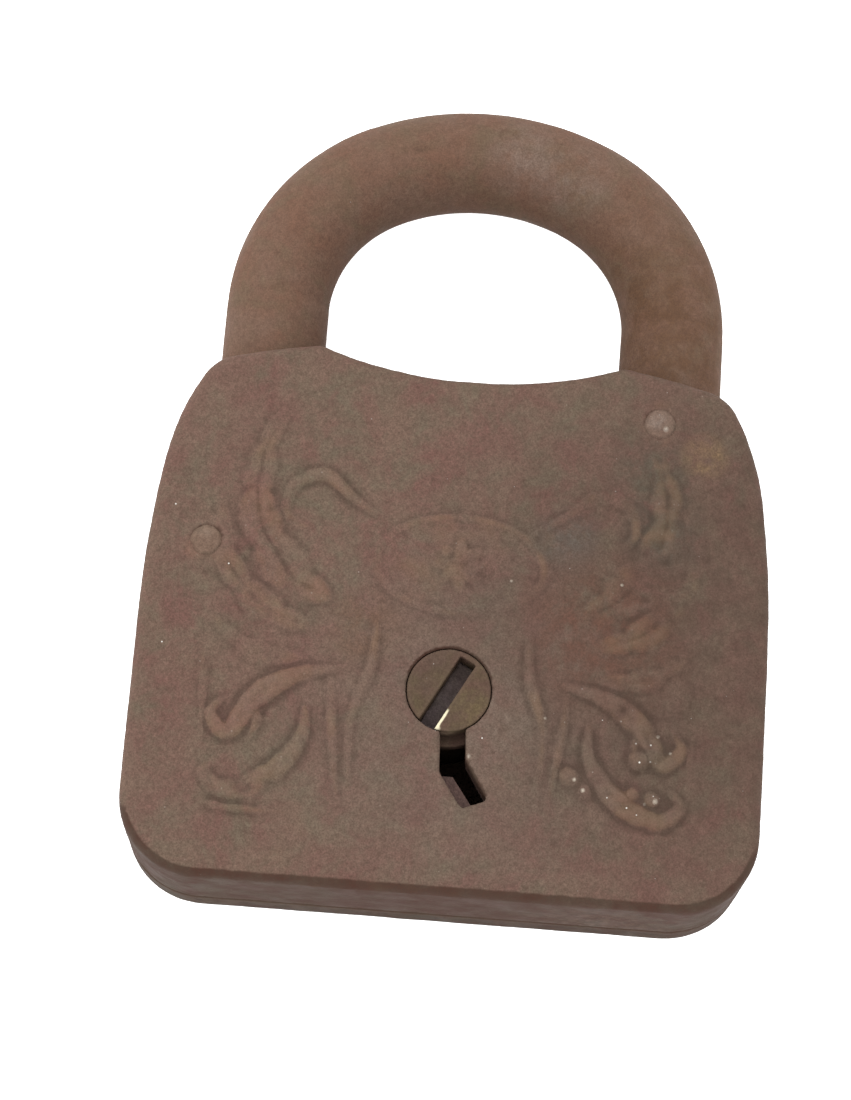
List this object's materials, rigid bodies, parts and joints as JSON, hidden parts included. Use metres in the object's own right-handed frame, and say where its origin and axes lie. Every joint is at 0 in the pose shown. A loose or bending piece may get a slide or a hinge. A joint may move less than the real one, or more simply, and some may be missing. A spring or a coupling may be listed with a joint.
{
  "type": "padlock",
  "caption": "Small cast lever padlock with a round-bar swinging shackle, a turning key drum and a dog-leg keyhole.",
  "frame": {"origin": "middle of the overall outline (case and closed shackle) on the flat back face of the cover", "axes": "the lock lies on its back: +X across the lock, +Y towards the shackle's crown, +Z out of the front face"},
  "size_m": [0.0558, 0.0762, 0.015],
  "materials": {
    "case_iron": "even matt rust over a worn cast relief",
    "cover_iron": "matt rust",
    "shackle_steel": "matt orange-brown rust",
    "worn_steel": "worn bright steel",
    "rusty_steel": "matt rust",
    "drum_brass": "tarnished, rust stained",
    "bolt_brass": "tarnished",
    "lever_brass": "tarnished",
    "spring_steel": "dull spring steel"
  },
  "bodies": {
    "case": {"front_case": "case_iron", "back_cover": "cover_iron", "shackle_pivot": "worn_steel", "lever_post": "rusty_steel", "cover_studs": "rusty_steel", "key_ward": "rusty_steel", "bolt_guides": "worn_steel", "lever_washers": "lever_brass", "lever_spacer": "worn_steel", "lever_stop": "worn_steel"},
    "shackle": {"shackle": "shackle_steel"},
    "drum": {"key_drum": "drum_brass"},
    "bolt": {"bolt": "bolt_brass", "bolt_stump": "worn_steel"},
    "lever_1": {"lever_1": "lever_brass", "lever_spring_1": "spring_steel"},
    "lever_2": {"lever_2": "lever_brass", "lever_spring_2": "spring_steel"},
    "lever_3": {"lever_3": "lever_brass", "lever_spring_3": "spring_steel"},
    "lever_4": {"lever_4": "lever_brass", "lever_spring_4": "spring_steel"},
    "lever_5": {"lever_5": "lever_brass", "lever_spring_5": "spring_steel"}
  },
  "joints": [
    {"name": "shackle_swing", "type": "hinge", "parent": "case", "child": "shackle", "pos_m": [0.0172, 0.006, 0.0073], "axis": [0, 0, -1], "range_deg": [0, 68]},
    {"name": "drum_turn", "type": "hinge", "parent": "case", "child": "drum", "pos_m": [0, -0.02, 0.0073], "axis": [0, 0, 1], "continuous": true},
    {"name": "bolt_slide", "type": "slide", "parent": "case", "child": "bolt", "axis": [-1, 0, 0], "range_m": [0, 0.0035]},
    {"name": "lever_1_lift", "type": "hinge", "parent": "case", "child": "lever_1", "pos_m": [-0.0224, -0.008, 0.00585], "axis": [0, 0, 1], "range_deg": [-2.2, 1.6], "stiffness_Nm_per_rad": 0.004, "springref_deg": -8.2, "deforming": ["lever_spring_1"]},
    {"name": "lever_2_lift", "type": "hinge", "parent": "case", "child": "lever_2", "pos_m": [-0.0224, -0.008, 0.00725], "axis": [0, 0, 1], "range_deg": [-3.4, 1.6], "stiffness_Nm_per_rad": 0.004, "springref_deg": -9.4, "deforming": ["lever_spring_2"]},
    {"name": "lever_3_lift", "type": "hinge", "parent": "case", "child": "lever_3", "pos_m": [-0.0224, -0.008, 0.00865], "axis": [0, 0, 1], "range_deg": [-2.6, 1.6], "stiffness_Nm_per_rad": 0.004, "springref_deg": -8.6, "deforming": ["lever_spring_3"]},
    {"name": "lever_4_lift", "type": "hinge", "parent": "case", "child": "lever_4", "pos_m": [-0.0224, -0.008, 0.01005], "axis": [0, 0, 1], "range_deg": [-3.8, 1.6], "stiffness_Nm_per_rad": 0.004, "springref_deg": -9.8, "deforming": ["lever_spring_4"]},
    {"name": "lever_5_lift", "type": "hinge", "parent": "case", "child": "lever_5", "pos_m": [-0.0224, -0.008, 0.01145], "axis": [0, 0, 1], "range_deg": [-3, 1.6], "stiffness_Nm_per_rad": 0.004, "springref_deg": -9, "deforming": ["lever_spring_5"]}
  ]
}
